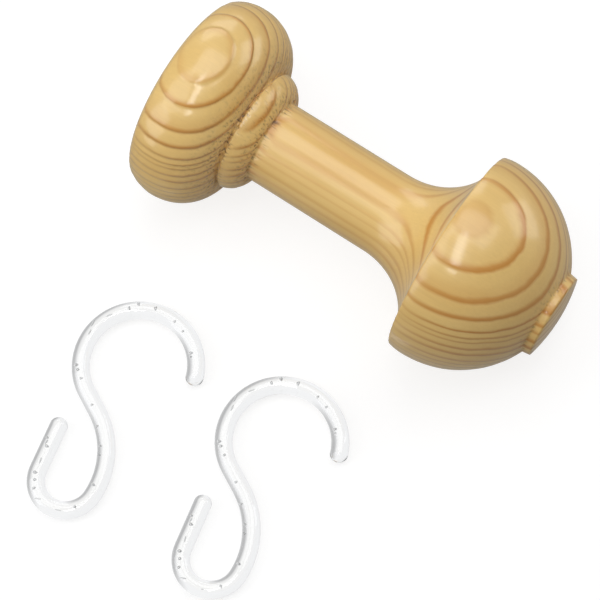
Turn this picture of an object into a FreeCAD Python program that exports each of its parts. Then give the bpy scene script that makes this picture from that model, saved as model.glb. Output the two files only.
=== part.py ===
"""Turned wooden wall peg lying on a table, with two loose clear S-hooks beside it.

Frame: +X runs along the peg from its back face to its nose, +Z is up, and the origin is the
centre of the whole row's footprint, on the table.  All lengths are millimetres.
"""
import FreeCAD
import Part
import math
import os
from FreeCAD import Vector

# ---- turned peg: stations run along the peg from its back face, radii are from its axis ----
BIG_R = 35.2            # the disc and the dome are turned to the same radius
SHAFT_R = 14.0
BACK_FACE_R = 29.0      # flat back that sits against the wall
BACK_RIM_X = 1.7        # the rounded rim ends here ...
BACK_RIM_R = 32.8       # ... at this radius
DISC_CREST_X = 9.9
DISC_FRONT_LENGTH = 16.7    # from the disc's crest to the groove
GROOVE_R = 19.8             # bottom of the groove between disc and bead
BEAD_SHOULDER = (27.5, 21.0)    # the bead starts here, at the groove's lip,
BEAD_MIDDLE = (31.0, 19.7)      # bulges through here
BEAD_FOOT_X = 34.5              # and lands on the shaft here
COVE_START_X = 78.6
COVE_LENGTH = 23.2
DOME_EDGE_R = 34.6          # the flare ends in a crisp edge
DOME_LAND = 4.5             # from that edge to the dome's equator
BUTTON_R = 14.4
BUTTON_FACE_R = 14.0
BUTTON_WALL = 2.6
BUTTON_CROWN = 1.8
PILOT_R = 2.5               # blind hole in the back for a wall screw
PILOT_DEPTH = 30.0
DRILL_POINT = 1.5           # height of the cone at the hole's end

# ---- S-hook: one round rod bent in a plane ----
ROD_R = 2.95
LARGE_BEND_R = 18.85        # to the rod's centre line
LARGE_BEND_START = -12.0    # degrees, where the upper tip lies
LARGE_BEND_END = 208.7
NECK_LENGTH = 7.6
WAIST_BEND_R = 28.3
WAIST_BEND_TURN = 59.5
SMALL_BEND_R = 9.85
SMALL_BEND_TURN = 171.3
TAIL_LENGTH = 15.4

# ---- where the hooks lie: centre of each large bend, measured from the peg's back face ----
HOOK_TURN = 33.3            # degrees, about +Z
HOOK_A_AT = (34.56, -78.72)
HOOK_B_AT = (87.88, -73.92)

GROOVE_X = DISC_CREST_X + DISC_FRONT_LENGTH
DOME_EDGE_X = COVE_START_X + COVE_LENGTH
DOME_CENTRE_X = DOME_EDGE_X + DOME_LAND
BUTTON_X = DOME_CENTRE_X + math.sqrt(BIG_R ** 2 - BUTTON_R ** 2)
BUTTON_FACE_X = BUTTON_X + BUTTON_WALL
PEG_LENGTH = BUTTON_FACE_X + BUTTON_CROWN


def line(start, end):
    return Part.LineSegment(Vector(*start, 0), Vector(*end, 0)).toShape()


def arc_through(start, middle, end):
    return Part.Arc(Vector(*start, 0), Vector(*middle, 0), Vector(*end, 0)).toShape()


def crowned_arc(start, crest):
    """Arc from start to crest, level where it meets the crest."""
    run = crest[0] - start[0]
    rise = crest[1] - start[1]
    radius = (run ** 2 + rise ** 2) / (2 * rise)
    half_angle = math.asin(run / radius) / 2
    middle = (crest[0] - radius * math.sin(half_angle), crest[1] - radius * (1 - math.cos(half_angle)))
    return arc_through(start, middle, crest)


def ellipse_quarter(centre, half_x, half_y, start_degrees, end_degrees):
    """Part of an axis-aligned ellipse, counted anticlockwise from +X."""
    ellipse = Part.Ellipse(
        Vector(centre[0] + half_x, centre[1], 0),
        Vector(centre[0], centre[1] + half_y, 0),
        Vector(centre[0], centre[1], 0),
    )
    return Part.ArcOfEllipse(ellipse, math.radians(start_degrees), math.radians(end_degrees)).toShape()


def disc_edges():
    """Back face, rounded rim, crest and the front flank down to the groove."""
    rim = (BACK_RIM_X, BACK_RIM_R)
    rim_middle = (BACK_RIM_X * 0.32, BACK_FACE_R + (BACK_RIM_R - BACK_FACE_R) * 0.62)
    return [
        line((0, 0), (0, BACK_FACE_R)),
        arc_through((0, BACK_FACE_R), rim_middle, rim),
        crowned_arc(rim, (DISC_CREST_X, BIG_R)),
        ellipse_quarter((DISC_CREST_X, GROOVE_R), DISC_FRONT_LENGTH, BIG_R - GROOVE_R, 0, 90),
    ]


def bead_edges():
    """The groove's wall, the rounded bead and the straight shaft."""
    foot = (BEAD_FOOT_X, SHAFT_R)
    return [
        line((GROOVE_X, GROOVE_R), BEAD_SHOULDER),
        arc_through(BEAD_SHOULDER, BEAD_MIDDLE, foot),
        line(foot, (COVE_START_X, SHAFT_R)),
    ]


def dome_edges():
    """Hollow flare, crisp edge, land, dome and the low button on the nose."""
    meeting = math.asin(BUTTON_R / BIG_R)
    half_way = (math.pi / 2 + meeting) / 2
    dome_middle = (DOME_CENTRE_X + BIG_R * math.cos(half_way), BIG_R * math.sin(half_way))
    flare = ellipse_quarter((COVE_START_X, DOME_EDGE_R), COVE_LENGTH, DOME_EDGE_R - SHAFT_R, 270, 360)
    crown_r = (BUTTON_FACE_R ** 2 + BUTTON_CROWN ** 2) / (2 * BUTTON_CROWN)
    crown_half = math.asin(BUTTON_FACE_R / crown_r) / 2
    crown_middle = (PEG_LENGTH - crown_r * (1 - math.cos(crown_half)), crown_r * math.sin(crown_half))
    return [
        flare,
        crowned_arc((DOME_EDGE_X, DOME_EDGE_R), (DOME_CENTRE_X, BIG_R)),
        arc_through((DOME_CENTRE_X, BIG_R), dome_middle, (BUTTON_X, BUTTON_R)),
        line((BUTTON_X, BUTTON_R), (BUTTON_FACE_X, BUTTON_FACE_R)),
        arc_through((BUTTON_FACE_X, BUTTON_FACE_R), crown_middle, (PEG_LENGTH, 0)),
        line((PEG_LENGTH, 0), (0, 0)),
    ]


def pilot_hole():
    """Blind hole on the axis, open at the back face, with the drill's cone at its end."""
    along = Vector(1, 0, 0)
    bore = Part.makeCylinder(PILOT_R, PILOT_DEPTH + 1, Vector(-1, 0, 0), along)
    cone = Part.makeCone(PILOT_R, 0, DRILL_POINT, Vector(PILOT_DEPTH, 0, 0), along)
    return bore.fuse(cone)


def turned_peg():
    outline = Part.Wire(disc_edges() + bead_edges() + dome_edges())
    solid = Part.Face(outline).revolve(Vector(0, 0, 0), Vector(1, 0, 0), 360)
    solid = solid.cut(pilot_hole())
    solid.translate(Vector(0, 0, BIG_R))
    return solid


class RodPath:
    """Follows the rod's centre line in its own plane, from the upper tip to the tail."""

    def __init__(self, start, heading):
        self.place = Vector(*start, 0)
        self.heading = math.radians(heading)
        self.edges = []
        self.bend_centre = None

    def forward(self, length):
        step = Vector(math.cos(self.heading), math.sin(self.heading), 0) * length
        self.edges.append(Part.LineSegment(self.place, self.place + step).toShape())
        self.place = self.place + step

    def bend(self, radius, degrees):
        """Turns left for positive degrees and right for negative ones."""
        side = math.copysign(1, degrees)
        left = Vector(-math.sin(self.heading), math.cos(self.heading), 0)
        self.bend_centre = self.place + left * (radius * side)
        spoke = self.place - self.bend_centre
        turn = FreeCAD.Rotation(Vector(0, 0, 1), degrees)
        half_turn = FreeCAD.Rotation(Vector(0, 0, 1), degrees / 2)
        end = self.bend_centre + turn.multVec(spoke)
        middle = self.bend_centre + half_turn.multVec(spoke)
        self.edges.append(Part.Arc(self.place, middle, end).toShape())
        self.place = end
        self.heading += math.radians(degrees)


def hook_path():
    start_angle = math.radians(LARGE_BEND_START)
    start = (LARGE_BEND_R * math.cos(start_angle), LARGE_BEND_R * math.sin(start_angle))
    path = RodPath(start, LARGE_BEND_START + 90)
    path.bend(LARGE_BEND_R, LARGE_BEND_END - LARGE_BEND_START)
    path.forward(NECK_LENGTH)
    path.bend(WAIST_BEND_R, -WAIST_BEND_TURN)
    path.bend(SMALL_BEND_R, -SMALL_BEND_TURN)
    path.forward(TAIL_LENGTH)
    return path


def s_hook(place):
    """Round rod swept along its path, with a half ball on each end."""
    path = hook_path()
    first = path.edges[0]
    start = first.Vertexes[0].Point
    start_way = first.tangentAt(first.FirstParameter)
    end_way = Vector(math.cos(path.heading), math.sin(path.heading), 0)
    section = Part.Wire(Part.makeCircle(ROD_R, start, start_way))
    rod = Part.Wire(path.edges).makePipeShell([section], True, False)
    upper_tip = Part.makeSphere(ROD_R, start, start_way * -1, 0, 90, 360)
    tail_tip = Part.makeSphere(ROD_R, path.place, end_way, 0, 90, 360)
    solid = rod.fuse([upper_tip, tail_tip]).removeSplitter()
    solid.rotate(Vector(0, 0, 0), Vector(0, 0, 1), HOOK_TURN)
    solid.translate(Vector(place[0], place[1], ROD_R))
    return solid


def footprint_centre():
    """Middle of the row's footprint: the peg's length, and peg top side to lowest hook."""
    bend = hook_path().bend_centre
    turned = FreeCAD.Rotation(Vector(0, 0, 1), HOOK_TURN).multVec(bend)
    lowest_bend = min(HOOK_A_AT[1], HOOK_B_AT[1]) + turned.y
    lowest = lowest_bend - SMALL_BEND_R - ROD_R
    return Vector(PEG_LENGTH / 2, (BIG_R + lowest) / 2, 0)


def main():
    os.makedirs("parts", exist_ok=True)
    shapes = {
        "turned_peg": turned_peg(),
        "s_hook_a": s_hook(HOOK_A_AT),
        "s_hook_b": s_hook(HOOK_B_AT),
    }
    centre = footprint_centre()
    for name, shape in shapes.items():
        shape.translate(centre * -1)
        solid = shape.Solids[0]
        solid.exportStep("parts/" + name + ".step")
        box = solid.optimalBoundingBox(False)
        print(name, "valid", solid.isValid(), "solids", len(shape.Solids), "volume", round(solid.Volume, 1))
        print("   x %.3f..%.3f  y %.3f..%.3f  z %.3f..%.3f" % (
            box.XMin, box.XMax, box.YMin, box.YMax, box.ZMin, box.ZMax))


main()
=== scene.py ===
import math

import bpy
import numpy as np
from mathutils import Matrix, Vector, noise


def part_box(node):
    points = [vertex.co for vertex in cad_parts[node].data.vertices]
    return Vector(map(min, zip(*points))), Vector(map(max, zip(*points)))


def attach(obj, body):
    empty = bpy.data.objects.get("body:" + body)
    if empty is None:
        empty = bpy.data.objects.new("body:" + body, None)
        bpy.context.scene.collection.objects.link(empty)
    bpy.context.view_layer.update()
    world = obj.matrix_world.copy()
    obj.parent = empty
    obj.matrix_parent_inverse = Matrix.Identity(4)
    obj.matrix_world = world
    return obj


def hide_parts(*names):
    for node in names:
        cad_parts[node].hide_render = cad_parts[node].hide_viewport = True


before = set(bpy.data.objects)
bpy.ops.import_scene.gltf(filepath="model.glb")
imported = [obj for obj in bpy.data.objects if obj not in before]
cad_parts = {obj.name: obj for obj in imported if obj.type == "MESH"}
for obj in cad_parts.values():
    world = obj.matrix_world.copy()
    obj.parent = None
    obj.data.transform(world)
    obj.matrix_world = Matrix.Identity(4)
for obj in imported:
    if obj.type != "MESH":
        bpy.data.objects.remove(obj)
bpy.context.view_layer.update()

MM = 0.001

# ---- turned peg, metres; stations run along the peg from its back face, radii are from its axis ----
PEG_LOW, PEG_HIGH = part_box("turned_peg")
BIG_R = (PEG_HIGH.z - PEG_LOW.z) / 2
PEG_LENGTH = PEG_HIGH.x - PEG_LOW.x
PEG_BACK = Vector((PEG_LOW.x, (PEG_LOW.y + PEG_HIGH.y) / 2, (PEG_LOW.z + PEG_HIGH.z) / 2))
SHAFT_R = 14.0 * MM
BACK_FACE_R = 29.0 * MM
BACK_RIM = (1.7 * MM, 32.8 * MM)
DISC_CREST_X = 9.9 * MM
GROOVE = (26.6 * MM, 19.8 * MM)
BEAD_SHOULDER = (27.5 * MM, 21.0 * MM)
BEAD_MIDDLE = (31.0 * MM, 19.7 * MM)
BEAD_FOOT = (34.5 * MM, SHAFT_R)
COVE_START_X = 78.6 * MM
COVE_LENGTH = 23.2 * MM
DOME_EDGE = (COVE_START_X + COVE_LENGTH, 34.6 * MM)
DOME_CENTRE_X = DOME_EDGE[0] + 4.5 * MM
BUTTON_R = 14.4 * MM
BUTTON_FACE_R = 14.0 * MM
BUTTON_WALL = 2.6 * MM
PILOT_R = 2.5 * MM
PILOT_DEPTH = 30.0 * MM
DRILL_POINT = 1.5 * MM
BUTTON_X = DOME_CENTRE_X + math.sqrt(BIG_R ** 2 - BUTTON_R ** 2)
BUTTON_FACE_X = BUTTON_X + BUTTON_WALL
AROUND = 420                # facets round the peg

# ---- growth rings, millimetres; level 0 is the plane through the peg's axis ----
RING_LEAN = 0.0473              # radians, about the peg's axis
RING_CURVE = -0.01645           # how fast the layers fall away to both sides, 1/mm
RING_CURVE_GROWTH = 0.00031     # how that changes with height
# level of the darkest line, how dark it is, reach below it, reach above it, length of its pale tail
RINGS = [
    (35.2, 0.40, 0.6, 0.6, 0.3),
    (31.3, 1.00, 0.8, 0.8, 0.4),
    (25.1, 0.95, 1.2, 1.2, 2.6),
    (19.6, 1.00, 1.2, 1.1, 0.4),
    (14.7, 0.90, 0.8, 0.7, 0.4),
    (11.7, 0.70, 0.6, 0.7, 0.3),
    (9.5, 0.58, 0.6, 0.6, 0.3),
    (5.9, 0.80, 0.9, 1.1, 0.6),
    (2.1, 0.85, 1.0, 1.3, 0.8),
    (-2.8, 0.75, 1.0, 1.2, 0.8),
    (-6.6, 0.60, 0.7, 0.9, 0.6),
    (-10.4, 0.70, 0.7, 0.9, 0.6),
    (-14.5, 0.80, 0.8, 1.0, 0.8),
    (-19.0, 0.85, 0.9, 1.1, 1.0),
    (-23.7, 0.80, 0.8, 1.0, 1.2),
    (-28.2, 0.85, 0.8, 0.9, 0.8),
    (-32.6, 0.70, 0.7, 0.8, 0.6),
]
# how far the layers wander along the peg: station from the back face, rise in level
WANDER = [(0, -1.1), (9, -0.1), (15, -0.1), (20, 0.1), (26.3, 0.9), (28.5, -0.3), (33, -0.3), (37, 0.1),
          (80, 0.0), (92, 0.5), (100, 0.1), (104, -0.7), (116, -0.3), (124, 0.0), (130, 0.3), (139, 0.0),
          (143, 0.0)]
# how clearly the rings show: station, share for the layers near the top, share for the lower layers; the dip
# from 27.5 to 30.5 fades the rings on the bead beside the groove as a painted highlight
BOLDNESS_AND_HIGHLIGHT = [(0, 0.55, 0.30), (6, 0.70, 0.35), (10, 0.85, 0.40), (14, 0.95, 0.60), (18, 1.0, 1.0),
            (26, 1.0, 1.1), (27.5, 0.5, 0.3), (29, 0.15, 0.15), (30.5, 0.6, 0.6), (32, 1.0, 1.0),
            (35, 1.0, 1.0), (38, 0.50, 0.36), (82, 0.50, 0.36), (90, 0.90, 0.60), (100, 1.0, 0.55),
            (103, 0.60, 0.25), (109, 0.85, 0.65), (116, 1.0, 1.0), (124, 1.0, 1.2), (143, 1.0, 1.2)]
# how deep the soft wood lies below the hard rings: station, depth
RELIEF = [(0, 0.25), (3, 0.70), (9, 0.80), (22, 0.70), (26, 0.45), (28, 0.35), (33, 0.40), (36, 0.06),
          (84, 0.06), (98, 0.14), (102, 0.22), (135, 0.22), (138, 0.08), (143, 0.05)]
# where the chisel tore the fibres: station, how badly
TEARING = [(19, 0), (24.5, 0.3), (25.8, 0.8), (26.6, 1.0), (27.6, 0.8), (29, 0.1), (32.5, 0.3), (34.3, 1.0),
           (36, 0.5), (37.5, 0), (136, 0), (138.3, 0.5), (138.9, 0.35), (139.5, 0)]

# ---- wood colours ----
EARLY_WOOD = (0.845, 0.575, 0.195)
EARLY_WOOD_DEEPER = (0.805, 0.520, 0.160)
GRAIN_STREAK = (0.35, 0.17, 0.05)
LATE_WOOD = (0.585, 0.235, 0.022)
SPLINTER = (0.93, 0.74, 0.42)       # pale lifted fibres where the chisel tore
PIT_SHADE = (0.11, 0.045, 0.012)         # painted shade: near-black in the pits among them

# ---- S-hook: one round rod bent in a plane ----
ROD_R = 2.95 * MM
LARGE_BEND_R = 18.85 * MM
LARGE_BEND_START = -12.0
LARGE_BEND_END = 208.7
NECK_LENGTH = 7.6 * MM
WAIST_BEND_R = 28.3 * MM
WAIST_BEND_TURN = 59.5
SMALL_BEND_R = 9.85 * MM
SMALL_BEND_TURN = 171.3
TAIL_LENGTH = 15.4 * MM
HOOK_TURN = 33.3
ROD_FACETS = 48
PLASTIC = (0.935, 0.935, 0.93)
# painted shade: grey tint for the rims of the air bubbles
BUBBLE_RIM_SHADE = (0.52, 0.53, 0.54)
# air bubbles in the rod, mm: way along its centre line from the upper tip, way to the right of it
ROUND_BUBBLES = [(36.6, 0.75), (33.4, 1.4), (28.2, 0.9), (20.9, 0.15), (16.2, -0.35), (7.9, -0.9),
                 (6.4, -1.15), (62.8, 1.0), (64.8, 0.7), (67.5, 0.2), (77.5, 0.35), (85.1, 1.2), (91.7, 1.3),
                 (95.7, 1.6), (106.2, 1.0), (116.4, 0.45), (137.3, -0.55), (134.7, -0.25), (132.3, -0.6),
                 (145.7, -0.55), (149.1, -1.15)]
# long bubbles: along, to the right, length, lean in degrees
LONG_BUBBLES = [(49.0, 1.4, 2.6, 12), (51.5, 0.5, 2.2, 8), (43.5, 0.6, 2.4, -6), (121.4, -0.2, 2.0, 0),
                (129.1, -0.6, 1.8, 35), (141.0, -0.4, 2.2, 5), (147.5, -0.9, 1.6, -8)]
BUBBLE_R = 0.48
LONG_BUBBLE_R = 0.20
BUBBLE_SEED = 7

# ---- camera: azimuth 0 looks along +Y ----
CAMERA_AZIMUTH = math.radians(33.82)
CAMERA_ELEVATION = math.radians(71.8)
CAMERA_DISTANCE = 0.7223
CAMERA_TARGET = Vector((-0.0060, 0.02044, 0.0))
CAMERA_LENS = 130.8

# ---- lights: name, direction as (right, up, back) of the camera, distance and size in metres,
# ---- how bright a white sheet gets
LIGHTS = [
    ("left_box", (-0.86, -0.04, 0.50), 0.60, (0.42, 0.42), 0.29),
    ("upper_left_box", (-0.50, 0.30, 0.80), 0.65, (0.40, 0.40), 0.20),
    ("top_box", (0.16, 0.56, 0.80), 0.80, (0.70, 0.40), 0.30),
    ("back_box", (0.0, 0.98, 0.14), 1.00, (0.60, 0.40), 0.15),
    ("right_box", (0.80, 0.52, 0.28), 1.00, (0.50, 0.50), 0.16),
]
STRIP_WAY = (-0.045, 0.11, 0.99)    # tall panel beside the camera, seen as the long highlights
STRIP_LONG_WAY = (0.21, 0.62)
STRIP_SIZE = (0.16, 0.60)
STRIP_WORTH = 0.20
DEEPEST_PATH = 32               # bounces: light runs a long way inside the hooks' rods
# how bright the room is to each kind of ray, and what each kind meets on the table
WORLD_SEEN_BY = [("Is Camera Ray", 0.85), ("Is Diffuse Ray", 0.05), ("Is Glossy Ray", 0.45)]
FLOOR_SEEN_BY = [
    ("Is Diffuse Ray", (1.0, 0.93, 0.78), 0.36),
    ("Is Glossy Ray", (1.0, 0.95, 0.85), 0.25),
    ("Is Singular Ray", (0.99, 0.99, 0.985), 0.98),
    ("Is Transmission Ray", (0.99, 0.99, 0.985), 0.98),
]


# ------------------------------------------------------------------ outline of the peg
def line(start, end, count):
    """Points from start towards end, without the end itself."""
    steps = [i / count for i in range(count)]
    return [(start[0] + (end[0] - start[0]) * t, start[1] + (end[1] - start[1]) * t) for t in steps]


def arc_about(centre, half_x, half_y, first, last, count):
    """Points of an axis-aligned ellipse between two angles in degrees, without the last one."""
    angles = [math.radians(first + (last - first) * i / count) for i in range(count)]
    return [(centre[0] + half_x * math.cos(a), centre[1] + half_y * math.sin(a)) for a in angles]


def arc_through(start, middle, end, count):
    """Points of the circle through three points, without the end itself."""
    a, b, c = Vector(start), Vector(middle), Vector(end)
    double = 2 * ((b - a).cross(c - a))
    ab, ac = b - a, c - a
    shift = Vector((ac.y * ab.length_squared - ab.y * ac.length_squared,
                    ab.x * ac.length_squared - ac.x * ab.length_squared)) / double
    centre = a + shift
    radius = shift.length
    first = math.atan2(a.y - centre.y, a.x - centre.x)
    sweep = (math.atan2(c.y - centre.y, c.x - centre.x) - first + math.pi) % (2 * math.pi) - math.pi
    angles = [first + sweep * i / count for i in range(count)]
    return [(centre.x + radius * math.cos(t), centre.y + radius * math.sin(t)) for t in angles]


def crowned_arc(start, crest, count):
    """Arc from start to crest, level where it meets the crest, without the crest itself."""
    run, rise = crest[0] - start[0], crest[1] - start[1]
    radius = (run ** 2 + rise ** 2) / (2 * rise)
    first = 90 + math.degrees(math.asin(run / radius))
    return arc_about((crest[0], crest[1] - radius), radius, radius, first, 90, count)


def disc_outline():
    rim_middle = (BACK_RIM[0] * 0.32, BACK_FACE_R + (BACK_RIM[1] - BACK_FACE_R) * 0.62)
    chamfer = 0.3 * MM
    return (
        line((PILOT_DEPTH, PILOT_R), (chamfer, PILOT_R), 4)
        + line((chamfer, PILOT_R), (0, PILOT_R + chamfer), 1)
        + line((0, PILOT_R + chamfer), (0, BACK_FACE_R), 9)
        + arc_through((0, BACK_FACE_R), rim_middle, BACK_RIM, 6)
        + crowned_arc(BACK_RIM, (DISC_CREST_X, BIG_R), 12)
        + arc_about((DISC_CREST_X, GROOVE[1]), GROOVE[0] - DISC_CREST_X, BIG_R - GROOVE[1], 90, 0, 48)
    )


def bead_outline():
    return (
        line(GROOVE, BEAD_SHOULDER, 4)
        + arc_through(BEAD_SHOULDER, BEAD_MIDDLE, BEAD_FOOT, 20)
        + line(BEAD_FOOT, (BEAD_FOOT[0] + 5 * MM, SHAFT_R), 6)
        + line((BEAD_FOOT[0] + 5 * MM, SHAFT_R), (COVE_START_X, SHAFT_R), 20)
    )


def dome_outline():
    meeting = math.degrees(math.asin(BUTTON_R / BIG_R))
    crown = PEG_LENGTH - BUTTON_FACE_X
    crown_r = (BUTTON_FACE_R ** 2 + crown ** 2) / (2 * crown)
    crown_angle = math.degrees(math.asin(BUTTON_FACE_R / crown_r))
    crown_centre = (PEG_LENGTH - crown_r, 0)
    return (
        arc_about((COVE_START_X, DOME_EDGE[1]), COVE_LENGTH, DOME_EDGE[1] - SHAFT_R, 270, 360, 34)
        + crowned_arc(DOME_EDGE, (DOME_CENTRE_X, BIG_R), 7)
        + arc_about((DOME_CENTRE_X, 0), BIG_R, BIG_R, 90, meeting, 46)
        + line((BUTTON_X, BUTTON_R), (BUTTON_FACE_X, BUTTON_FACE_R), 5)
        + arc_about(crown_centre, crown_r, crown_r, crown_angle, 0, 9)
    )


# ------------------------------------------------------------------ growth rings as a solid pattern
def smooth_step(low, high, value):
    t = np.clip((value - low) / (high - low), 0, 1)
    return t * t * (3 - 2 * t)


def growth_level(x, y, z):
    """Which growth layer passes through a point; x from the back face, y and z from the axis, in mm.

    The layers are shallow shells that curve down towards both sides and lean a little."""
    height = y * math.sin(RING_LEAN) + z * math.cos(RING_LEAN)
    side = y * math.cos(RING_LEAN) - z * math.sin(RING_LEAN)
    way = (x - 70) / 70
    level = height + (RING_CURVE + RING_CURVE_GROWTH * height) * side ** 2 / 2
    level += -0.51 * way + 1.87 * way ** 2 + 0.056 * way ** 3
    level += 0.023 * way * side / 35 - 1.18 * (side / 35) ** 3
    pinch = smooth_step(34, 40, x) * (1 - smooth_step(80, 96, x))
    level += 0.16 * (level - 5) * pinch
    crown = smooth_step(26, 31, level) * (1 - smooth_step(35, 40, x) * (1 - smooth_step(98, 102, x)))
    return level - wander(x) * (1 - 0.8 * crown)


def wander(x):
    """Smooth curve through the WANDER stations."""
    rise = np.full_like(x, WANDER[0][1], dtype=float)
    for (start, low), (end, high) in zip(WANDER, WANDER[1:]):
        rise += (high - low) * smooth_step(start, end, x)
    return rise


def along(table, x, column=1):
    """Value of one column of a table at each station."""
    stations = [row[0] for row in table]
    return np.interp(x, stations, [row[column] for row in table])


def ring_boldness_and_highlight(x, level):
    """How clearly the rings show, by station: faint on the shaft and where they crowd together, and faded on
    the bead beside the groove as a painted highlight.
    """
    share = smooth_step(14, 18, level)
    return along(BOLDNESS_AND_HIGHLIGHT, x, 2) * (1 - share) + along(BOLDNESS_AND_HIGHLIGHT, x, 1) * share


def torn_fibre(points, x):
    """Short chips along the grain where the chisel crossed the fibres: the groove and both junctions."""
    zone = along(TEARING, x)
    torn = np.zeros_like(x)
    for i in np.nonzero(zone > 0.02)[0]:
        spot = Vector((points[i, 0] / 2.6, points[i, 1] / 0.8, points[i, 2] / 0.8))
        torn[i] = noise.noise(spot) + 0.5 * noise.noise(spot * 2.1)
    return zone * smooth_step(0.05, 0.50, torn)


def ring_relief(level):
    """0 on the hard side of a ring, near 1 in the soft wood just below it, fading over the band."""
    depth = np.zeros_like(level)
    for place, strength, below, above, tail in RINGS:
        under = place - level
        step = smooth_step(-0.1 * above, 0.7 * below, under)
        depth += (0.3 + 0.7 * strength) * step * np.exp(-np.clip(under, 0, None) / 1.7)
    return np.clip(depth, 0, 1.1)


# ------------------------------------------------------------------ meshes
def revolve(outline, start_tip, end_tip):
    """Mesh data of an outline turned about X, closed by a tip point at each end."""
    turns = np.linspace(0, 2 * math.pi, AROUND, endpoint=False)
    points = np.array(outline)
    x = np.repeat(points[:, 0], AROUND)
    r = np.repeat(points[:, 1], AROUND)
    t = np.tile(turns, len(points))
    body = np.stack([x, r * np.cos(t), r * np.sin(t)], axis=1)
    verts = np.vstack([body, [(start_tip, 0, 0)], [(end_tip, 0, 0)]])
    faces = []
    for i in range(len(points) - 1):
        for j in range(AROUND):
            k = (j + 1) % AROUND
            faces.append((i * AROUND + j, i * AROUND + k, (i + 1) * AROUND + k, (i + 1) * AROUND + j))
    first, last = len(body), len(body) + 1
    ring = (len(points) - 1) * AROUND
    for j in range(AROUND):
        k = (j + 1) % AROUND
        faces.append((first, k, j))
        faces.append((last, ring + j, ring + k))
    return verts, faces


def outline_normals(outline):
    """Outward normals (x part, radial part) at each outline point."""
    points = np.array(outline)
    ahead = np.roll(points, -1, axis=0) - points
    back = points - np.roll(points, 1, axis=0)
    ahead[-1] = back[-1]
    back[0] = ahead[0]
    ahead /= np.linalg.norm(ahead, axis=1, keepdims=True)
    back /= np.linalg.norm(back, axis=1, keepdims=True)
    way = ahead + back
    way /= np.linalg.norm(way, axis=1, keepdims=True)
    return np.stack([-way[:, 1], way[:, 0]], axis=1)


def make_object(name, verts, faces, material):
    mesh = bpy.data.meshes.new(name)
    mesh.from_pydata([tuple(v) for v in verts], [], faces)
    mesh.update()
    mesh.shade_smooth()
    mesh.materials.append(material)
    piece = bpy.data.objects.new(name, mesh)
    bpy.context.scene.collection.objects.link(piece)
    return piece


def make_peg(material):
    outline = disc_outline() + bead_outline() + dome_outline()
    verts, faces = revolve(outline, PILOT_DEPTH + DRILL_POINT, PEG_LENGTH)
    normals = outline_normals(outline)
    level = growth_level(*(verts.T / MM))
    turn = np.arctan2(verts[:, 2], verts[:, 1])
    station = verts[:, 0] / MM
    bold = ring_boldness_and_highlight(station, level)
    torn = torn_fibre(verts / MM, station)
    count = len(outline) * AROUND
    sink = (ring_relief(level) * along(RELIEF, station) * (0.4 + 0.6 * bold) + 0.38 * torn) * MM
    nx = np.repeat(normals[:, 0], AROUND)
    nr = np.repeat(normals[:, 1], AROUND)
    sink[count:] = 0
    hole = (np.array(outline)[:, 1] <= PILOT_R + 1 * MM) & (np.array(outline)[:, 0] <= PILOT_DEPTH)
    flat_back = normals[:, 0] < -0.95
    sink[:count][np.repeat(hole | flat_back, AROUND)] = 0
    verts[:count, 0] -= nx * sink[:count]
    verts[:count, 1] -= nr * sink[:count] * np.cos(turn[:count])
    verts[:count, 2] -= nr * sink[:count] * np.sin(turn[:count])
    shown = growth_level(*(verts.T / MM))
    verts += np.array(PEG_BACK)
    piece = make_object("pine_peg", verts, faces, material)
    store(piece, "layer", shown)
    store(piece, "bold", bold)
    store(piece, "torn", torn)
    return piece


def store(piece, name, values):
    attribute = piece.data.attributes.new(name, "FLOAT", "POINT")
    attribute.data.foreach_set("value", np.asarray(values, np.float32))


class RodLine:
    """Follows the rod's centre line in its own plane: points with the direction at each."""

    def __init__(self, start, heading):
        self.place = Vector(start)
        self.heading = math.radians(heading)
        self.points = []

    def mark(self):
        way = Vector((math.cos(self.heading), math.sin(self.heading)))
        self.points.append((self.place.copy(), way))

    def forward(self, length, count):
        way = Vector((math.cos(self.heading), math.sin(self.heading)))
        for _ in range(count):
            self.mark()
            self.place += way * (length / count)

    def bend(self, radius, degrees, count):
        """Turns left for positive degrees and right for negative ones."""
        side = math.copysign(1, degrees)
        turn = math.radians(degrees) / count
        left = Vector((-math.sin(self.heading), math.cos(self.heading)))
        centre = self.place + left * (radius * side)
        for _ in range(count):
            self.mark()
            self.place = centre + Matrix.Rotation(turn, 2) @ (self.place - centre)
            self.heading += turn


def hook_line():
    start = math.radians(LARGE_BEND_START)
    path = RodLine((LARGE_BEND_R * math.cos(start), LARGE_BEND_R * math.sin(start)), LARGE_BEND_START + 90)
    path.bend(LARGE_BEND_R, LARGE_BEND_END - LARGE_BEND_START, 96)
    path.forward(NECK_LENGTH, 6)
    path.bend(WAIST_BEND_R, -WAIST_BEND_TURN, 36)
    path.bend(SMALL_BEND_R, -SMALL_BEND_TURN, 60)
    path.forward(TAIL_LENGTH, 12)
    path.mark()
    return path.points


def rod_sections(points):
    """(centre, direction, radius) of each ring of the rod, with a half ball at each end."""
    steps = 10
    rounds = [math.radians(90 * i / steps) for i in range(1, steps)]
    start, start_way = points[0]
    end, end_way = points[-1]
    tip = [(start - start_way * ROD_R * math.cos(a), start_way, ROD_R * math.sin(a)) for a in rounds]
    tail = [(end + end_way * ROD_R * math.cos(a), end_way, ROD_R * math.sin(a)) for a in reversed(rounds)]
    return tip + [(place, way, ROD_R) for place, way in points] + tail


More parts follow.
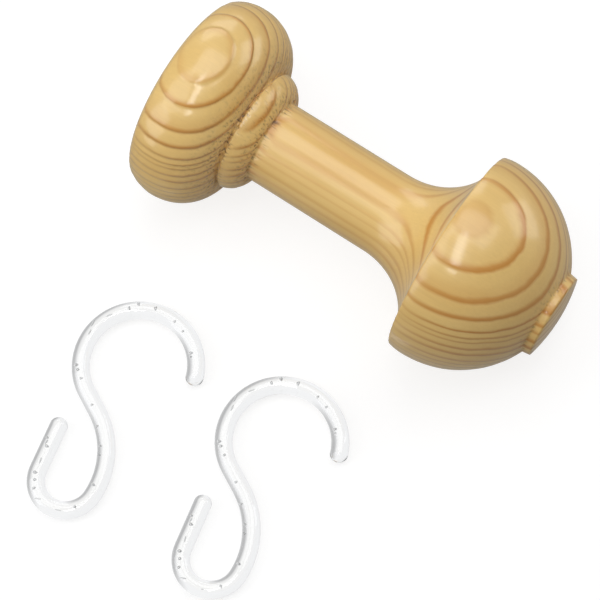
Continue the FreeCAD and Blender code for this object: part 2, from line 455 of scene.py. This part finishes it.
def cavity(centre, along, across, long_r, cross_r):
    """Closed egg-shaped hollow; its faces look into the hollow, away from the plastic."""
    rows, sides = 8, 12
    up = along.cross(across)
    verts = [centre + along * long_r]
    for i in range(1, rows):
        tilt = math.pi * i / rows
        for j in range(sides):
            turn = 2 * math.pi * j / sides
            out = (across * math.cos(turn) + up * math.sin(turn)) * (cross_r * math.sin(tilt))
            verts.append(centre + along * (long_r * math.cos(tilt)) + out)
    verts.append(centre - along * long_r)
    faces = []
    end = len(verts) - 1
    for j in range(sides):
        k = (j + 1) % sides
        faces.append((0, 1 + k, 1 + j))
        faces.append((end, end - sides + j, end - sides + k))
        for i in range(rows - 2):
            a = 1 + i * sides
            faces.append((a + j, a + k, a + sides + k, a + sides + j))
    return verts, faces


def bubbles(points):
    """All the hollows of one hook, in the rod's own plane."""
    places = np.array([tuple(place) for place, way in points])
    run = np.concatenate([[0], np.cumsum(np.linalg.norm(np.diff(places, axis=0), axis=1))]) / MM
    sizes = np.random.default_rng(BUBBLE_SEED)
    wanted = [(s, o, BUBBLE_R * sizes.uniform(0.75, 1.2), None, 0) for s, o in ROUND_BUBBLES]
    wanted += [(s, o, length / 2, LONG_BUBBLE_R, lean) for s, o, length, lean in LONG_BUBBLES]
    for s, offset, long_r, cross_r, lean in wanted:
        i = min(int(np.searchsorted(run, s)), len(points) - 1)
        place, way = points[i]
        way = Vector((way.x, way.y, 0))
        across = Vector((way.y, -way.x, 0))
        lift = sizes.uniform(-0.5, 0.8)
        centre = Vector((place.x, place.y, 0)) + across * (offset * MM) + Vector((0, 0, lift * MM))
        turn = Matrix.Rotation(math.radians(lean), 3, "Z")
        yield cavity(centre, turn @ way, turn @ across, long_r * MM, (cross_r or long_r) * MM)


def make_hook(name, node, material):
    points = hook_line()
    sections = rod_sections(points)
    verts = []
    for place, way, radius in sections:
        across = Vector((way.y, -way.x))
        for i in range(ROD_FACETS):
            angle = 2 * math.pi * i / ROD_FACETS
            flat = place + across * (radius * math.cos(angle))
            verts.append(Vector((flat.x, flat.y, radius * math.sin(angle))))
    faces = []
    for i in range(len(sections) - 1):
        for j in range(ROD_FACETS):
            k = (j + 1) % ROD_FACETS
            ahead = (i + 1) * ROD_FACETS
            faces.append((i * ROD_FACETS + j, ahead + j, ahead + k, i * ROD_FACETS + k))
    start, start_way = points[0]
    end, end_way = points[-1]
    verts.append(Vector((*(start - start_way * ROD_R), 0)))
    verts.append(Vector((*(end + end_way * ROD_R), 0)))
    first, last = len(verts) - 2, len(verts) - 1
    ring = (len(sections) - 1) * ROD_FACETS
    for j in range(ROD_FACETS):
        k = (j + 1) % ROD_FACETS
        faces.append((first, j, k))
        faces.append((last, ring + k, ring + j))
    for hollow, walls in bubbles(points):
        count = len(verts)
        verts += hollow
        faces += [tuple(count + v for v in wall) for wall in walls]
    turn = Matrix.Rotation(math.radians(HOOK_TURN), 3, "Z")
    verts = [turn @ v for v in verts]
    shell_count = 1 + last
    low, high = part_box(node)
    made_low = Vector((min(v.x for v in verts), min(v.y for v in verts), min(v.z for v in verts)))
    made_high = Vector((max(v.x for v in verts), max(v.y for v in verts), max(v.z for v in verts)))
    shift = (low + high) / 2 - (made_low + made_high) / 2
    piece = make_object(name, [v + shift for v in verts], faces, material)
    store(piece, "hollow", [float(i >= shell_count) for i in range(len(verts))])
    return piece


# ------------------------------------------------------------------ materials
class Nodes:
    """Short calls that add nodes to one material and link them."""

    def __init__(self, name):
        self.material = bpy.data.materials.new(name)
        self.material.use_nodes = True
        self.tree = self.material.node_tree
        self.shader = self.tree.nodes["Principled BSDF"]

    def feed(self, value, socket):
        if hasattr(value, "links"):
            self.tree.links.new(value, socket)
        else:
            socket.default_value = value

    def math(self, operation, first, second=0.0, clamp=False):
        node = self.tree.nodes.new("ShaderNodeMath")
        node.operation = operation
        node.use_clamp = clamp
        self.feed(first, node.inputs[0])
        self.feed(second, node.inputs[1])
        return node.outputs[0]

    def attribute(self, name):
        node = self.tree.nodes.new("ShaderNodeAttribute")
        node.attribute_name = name
        return node.outputs["Fac"]

    def place(self, scale):
        """Object coordinates, stretched by a scale for each axis."""
        where = self.tree.nodes.new("ShaderNodeTexCoord")
        stretch = self.tree.nodes.new("ShaderNodeMapping")
        stretch.inputs["Scale"].default_value = scale
        self.tree.links.new(where.outputs["Object"], stretch.inputs["Vector"])
        return stretch.outputs["Vector"]

    def noise(self, where, detail=2.0, roughness=0.5):
        node = self.tree.nodes.new("ShaderNodeTexNoise")
        node.inputs["Scale"].default_value = 1.0
        node.inputs["Detail"].default_value = detail
        node.inputs["Roughness"].default_value = roughness
        self.tree.links.new(where, node.inputs["Vector"])
        return node.outputs["Fac"]

    def ramp(self, value, stops):
        """Grey level that follows the (position, level) stops in straight steps."""
        node = self.tree.nodes.new("ShaderNodeValToRGB")
        elements = node.color_ramp.elements
        while len(elements) < len(stops):
            elements.new(0.5)
        for element, (place, grey) in zip(elements, sorted(stops, key=lambda stop: stop[0])):
            element.position = place
            element.color = (grey, grey, grey, 1)
        self.feed(value, node.inputs["Fac"])
        return node.outputs["Color"]

    def range(self, value, low, high, to_low=0.0, to_high=1.0):
        node = self.tree.nodes.new("ShaderNodeMapRange")
        self.feed(value, node.inputs["Value"])
        node.inputs["From Min"].default_value = low
        node.inputs["From Max"].default_value = high
        node.inputs["To Min"].default_value = to_low
        node.inputs["To Max"].default_value = to_high
        return node.outputs["Result"]

    def mix(self, factor, first, second):
        node = self.tree.nodes.new("ShaderNodeMix")
        node.data_type = "RGBA"
        self.feed(factor, node.inputs["Factor"])
        for value, socket in ((first, node.inputs["A"]), (second, node.inputs["B"])):
            self.feed(value if hasattr(value, "links") else (*value, 1), socket)
        return node.outputs["Result"]

    def bump(self, height, distance, strength):
        node = self.tree.nodes.new("ShaderNodeBump")
        node.inputs["Strength"].default_value = strength
        node.inputs["Distance"].default_value = distance
        self.tree.links.new(height, node.inputs["Height"])
        return node.outputs["Normal"]


def ring_ramp(pine, level, rings):
    """Darkness from a group of rings: quick below each one's darkest line, slower above it."""
    low = rings[-1][0] - 2.0
    high = rings[0][0] + 4.0
    stops = []
    for place, strength, below, above, tail in rings:
        marks = ((-below, 0.0), (-0.25 * below, 0.95), (0.35 * above, 0.8), (above, 0.2), (above + tail, 0.0))
        stops += [((place + shift - low) / (high - low), strength * share) for shift, share in marks]
    return pine.ramp(pine.range(level, low, high), stops)


def pine_material():
    pine = Nodes("lacquered_pine")
    wobble = pine.noise(pine.place((22, 240, 240)), detail=3.0)
    level = pine.math("ADD", pine.attribute("layer"), pine.range(wobble, 0.25, 0.75, -0.28, 0.28))
    groups = [RINGS[0:6], RINGS[6:12], RINGS[12:]]      # few enough stops for one ramp each
    dark = None
    for rings in groups:
        part = ring_ramp(pine, level, rings)
        dark = part if dark is None else pine.math("ADD", dark, part)
    streak = pine.noise(pine.place((9, 1500, 1500)), detail=4.0, roughness=0.6)
    patch = pine.noise(pine.place((25, 60, 60)), detail=2.0)
    early = pine.mix(pine.range(patch, 0.3, 0.7), EARLY_WOOD, EARLY_WOOD_DEEPER)
    early = pine.mix(pine.range(streak, 0.30, 0.70), pine.mix(0.09, early, GRAIN_STREAK), early)
    # painted highlight: where bold dips on the bead, the rings fade to the pale early wood
    shade = pine.math("MULTIPLY", dark, pine.attribute("bold"), clamp=True)
    colour = pine.mix(shade, early, LATE_WOOD)
    torn = pine.attribute("torn")
    # painted shade: the torn pits are darkened near-black as if in shadow
    pit_shade = pine.math("MULTIPLY", torn, pine.range(streak, 0.40, 0.55), clamp=True)
    splinter = pine.math("MULTIPLY", torn, pine.range(streak, 0.45, 0.35), clamp=True)
    colour = pine.mix(pine.math("MULTIPLY", splinter, 0.6), colour, SPLINTER)
    colour = pine.mix(pine.math("MULTIPLY", pit_shade, 0.95), colour, PIT_SHADE)
    pine.feed(colour, pine.shader.inputs["Base Color"])
    grain = pine.bump(streak, 0.03 * MM, 0.5)
    pine.feed(grain, pine.shader.inputs["Normal"])
    pine.feed(pine.range(streak, 0.3, 0.7, 0.46, 0.40), pine.shader.inputs["Roughness"])
    pine.shader.inputs["Sheen Weight"].default_value = 0.20
    pine.shader.inputs["Sheen Roughness"].default_value = 0.5
    pine.shader.inputs["Coat Weight"].default_value = 0.9
    pine.shader.inputs["Coat Roughness"].default_value = 0.15
    return pine.material


def plastic_material():
    """Water-clear plastic; the walls of its air bubbles get a painted grey shade towards their rims."""
    clear = Nodes("clear_plastic")
    rim = clear.tree.nodes.new("ShaderNodeLayerWeight")
    rim.inputs["Blend"].default_value = 0.5
    near_rim = clear.range(rim.outputs["Facing"], 0.0, 0.12)
    # painted shade: bubble walls turn grey as they face away
    grey = clear.math("MULTIPLY", clear.attribute("hollow"), near_rim, clamp=True)
    clear.feed(clear.mix(grey, PLASTIC, BUBBLE_RIM_SHADE), clear.shader.inputs["Base Color"])
    clear.shader.inputs["Transmission Weight"].default_value = 1.0
    clear.shader.inputs["IOR"].default_value = 1.49
    clear.shader.inputs["Roughness"].default_value = 0.0
    return clear.material


def floor_material():
    """White table; what it throws back at the object is weaker and warmer than what the camera sees."""
    paper = Nodes("white_table")
    paper.shader.inputs["Base Color"].default_value = (0.3, 0.3, 0.3, 1)
    paper.shader.inputs["Roughness"].default_value = 0.9
    paper.shader.inputs["Specular IOR Level"].default_value = 0.0
    paper.shader.inputs["Emission Color"].default_value = (1, 1, 1, 1)
    paper.shader.inputs["Emission Strength"].default_value = 0.78
    rays = paper.tree.nodes.new("ShaderNodeLightPath")
    surface = paper.shader.outputs[0]
    for ray, colour, strength in FLOOR_SEEN_BY:
        glow = paper.tree.nodes.new("ShaderNodeEmission")
        glow.inputs["Color"].default_value = (*colour, 1)
        glow.inputs["Strength"].default_value = strength
        join = paper.tree.nodes.new("ShaderNodeMixShader")
        paper.feed(rays.outputs[ray], join.inputs[0])
        paper.feed(surface, join.inputs[1])
        paper.feed(glow.outputs[0], join.inputs[2])
        surface = join.outputs[0]
    through_plastic = paper.math(
        "MAXIMUM", rays.outputs["Is Singular Ray"], rays.outputs["Is Transmission Ray"])
    surface = table_fading(paper, surface, through_plastic)
    paper.feed(surface, paper.tree.nodes["Material Output"].inputs["Surface"])
    return paper.material


def table_fading(paper, surface, seen):
    """The table gives way to the room behind it at low angles, for what the clear plastic shows."""
    low_angle = paper.tree.nodes.new("ShaderNodeLayerWeight")
    low_angle.inputs["Blend"].default_value = 0.5
    room = paper.tree.nodes.new("ShaderNodeBsdfTransparent")
    share = paper.range(low_angle.outputs["Facing"], 0.0, 0.10)
    join = paper.tree.nodes.new("ShaderNodeMixShader")
    paper.feed(paper.math("MULTIPLY", share, seen), join.inputs[0])
    paper.feed(surface, join.inputs[1])
    paper.feed(room.outputs[0], join.inputs[2])
    return join.outputs[0]


# ------------------------------------------------------------------ studio
def camera_axes():
    """Right, up and backward directions of the camera."""
    flat = math.cos(CAMERA_ELEVATION)
    back = Vector((
        math.sin(CAMERA_AZIMUTH) * flat, -math.cos(CAMERA_AZIMUTH) * flat, math.sin(CAMERA_ELEVATION)))
    right = Vector((math.cos(CAMERA_AZIMUTH), math.sin(CAMERA_AZIMUTH), 0))
    return right, back.cross(right), back


def make_camera():
    right, up, back = camera_axes()
    data = bpy.data.cameras.new("camera")
    data.lens = CAMERA_LENS
    data.sensor_width = 36
    camera = bpy.data.objects.new("camera", data)
    camera.matrix_world = Matrix.Translation(CAMERA_TARGET + back * CAMERA_DISTANCE) @ Matrix(
        (right, up, back)).transposed().to_4x4()
    data.clip_start = 0.01
    data.clip_end = 20
    bpy.context.scene.collection.objects.link(camera)
    bpy.context.scene.camera = camera


def soft_light(name, way, distance, size, worth, long_way=None):
    """Area light that faces the object from a direction given as (right, up, back) of the camera.

    worth is how bright it makes a white sheet that faces it."""
    right, up, back = camera_axes()
    way = (right * way[0] + up * way[1] + back * way[2]).normalized()
    data = bpy.data.lights.new(name, "AREA")
    data.shape = "RECTANGLE"
    data.size, data.size_y = size
    data.energy = worth * math.pi ** 2 * distance ** 2
    lamp = bpy.data.objects.new(name, data)
    lamp.visible_transmission = False       # the clear hooks show the room's even light, not the panels
    turn = way.to_track_quat("Z", "Y").to_matrix()
    if long_way is not None:
        tall = right * long_way[0] + up * long_way[1]
        tall = (tall - way * tall.dot(way)).normalized()
        turn = Matrix((tall.cross(way), tall, way)).transposed()
    lamp.matrix_world = Matrix.Translation(way * distance) @ turn.to_4x4()
    bpy.context.scene.collection.objects.link(lamp)


def make_world():
    """Pale room, brighter on the camera's left, that hardly lights the wood."""
    world = bpy.data.worlds.new("studio")
    world.use_nodes = True
    tree = world.node_tree
    backdrop = tree.nodes["Background"]
    rays = tree.nodes.new("ShaderNodeLightPath")
    where = tree.nodes.new("ShaderNodeTexCoord")
    side = tree.nodes.new("ShaderNodeVectorMath")
    side.operation = "DOT_PRODUCT"
    right, up, back = camera_axes()
    side.inputs[1].default_value = (up * 0.4 - right).normalized()
    tree.links.new(where.outputs["Generated"], side.inputs[0])
    room = tree.nodes.new("ShaderNodeMapRange")
    tree.links.new(side.outputs["Value"], room.inputs["Value"])
    room.inputs["From Min"].default_value = -0.50
    room.inputs["From Max"].default_value = -0.12
    room.inputs["To Min"].default_value = 0.50
    room.inputs["To Max"].default_value = 0.98
    strength = room.outputs["Result"]
    for ray, value in WORLD_SEEN_BY:
        strength = world_choice(tree, rays.outputs[ray], strength, value)
    sharp = tree.nodes.new("ShaderNodeMix")     # the clear hooks' rays always meet the gradient
    tree.links.new(rays.outputs["Is Singular Ray"], sharp.inputs["Factor"])
    tree.links.new(strength, sharp.inputs["A"])
    tree.links.new(room.outputs["Result"], sharp.inputs["B"])
    tree.links.new(sharp.outputs["Result"], backdrop.inputs["Strength"])
    backdrop.inputs["Color"].default_value = (0.98, 0.987, 1, 1)
    bpy.context.scene.world = world


def world_choice(tree, choice, otherwise, value):
    """value for the rays that choice marks, and the level given by otherwise for the others."""
    pick = tree.nodes.new("ShaderNodeMix")
    tree.links.new(choice, pick.inputs["Factor"])
    tree.links.new(otherwise, pick.inputs["A"])
    pick.inputs["B"].default_value = value
    return pick.outputs["Result"]


def make_floor():
    half = 3.0
    low = -0.02 * MM
    corners = [(-half, -half, low), (half, -half, low), (half, half, low), (-half, half, low)]
    floor = make_object("table", corners, [(0, 1, 2, 3)], floor_material())


def place_piece(piece, node, body):
    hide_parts(node)
    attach(piece, body)


make_camera()
make_world()
make_floor()
for name, way, distance, size, worth in LIGHTS:
    soft_light(name, way, distance, size, worth)
soft_light("strip", STRIP_WAY, 1.0, STRIP_SIZE, STRIP_WORTH, long_way=STRIP_LONG_WAY)

peg = make_peg(pine_material())
place_piece(peg, "turned_peg", "peg")
plastic = plastic_material()
for side in ("a", "b"):
    hook = make_hook("clear_hook_" + side, "s_hook_" + side, plastic)
    place_piece(hook, "s_hook_" + side, "hook_" + side)

bpy.context.scene.view_settings.view_transform = "Standard"
bpy.context.scene.cycles.max_bounces = DEEPEST_PATH
bpy.context.scene.cycles.glossy_bounces = DEEPEST_PATH
bpy.context.scene.cycles.transmission_bounces = DEEPEST_PATH
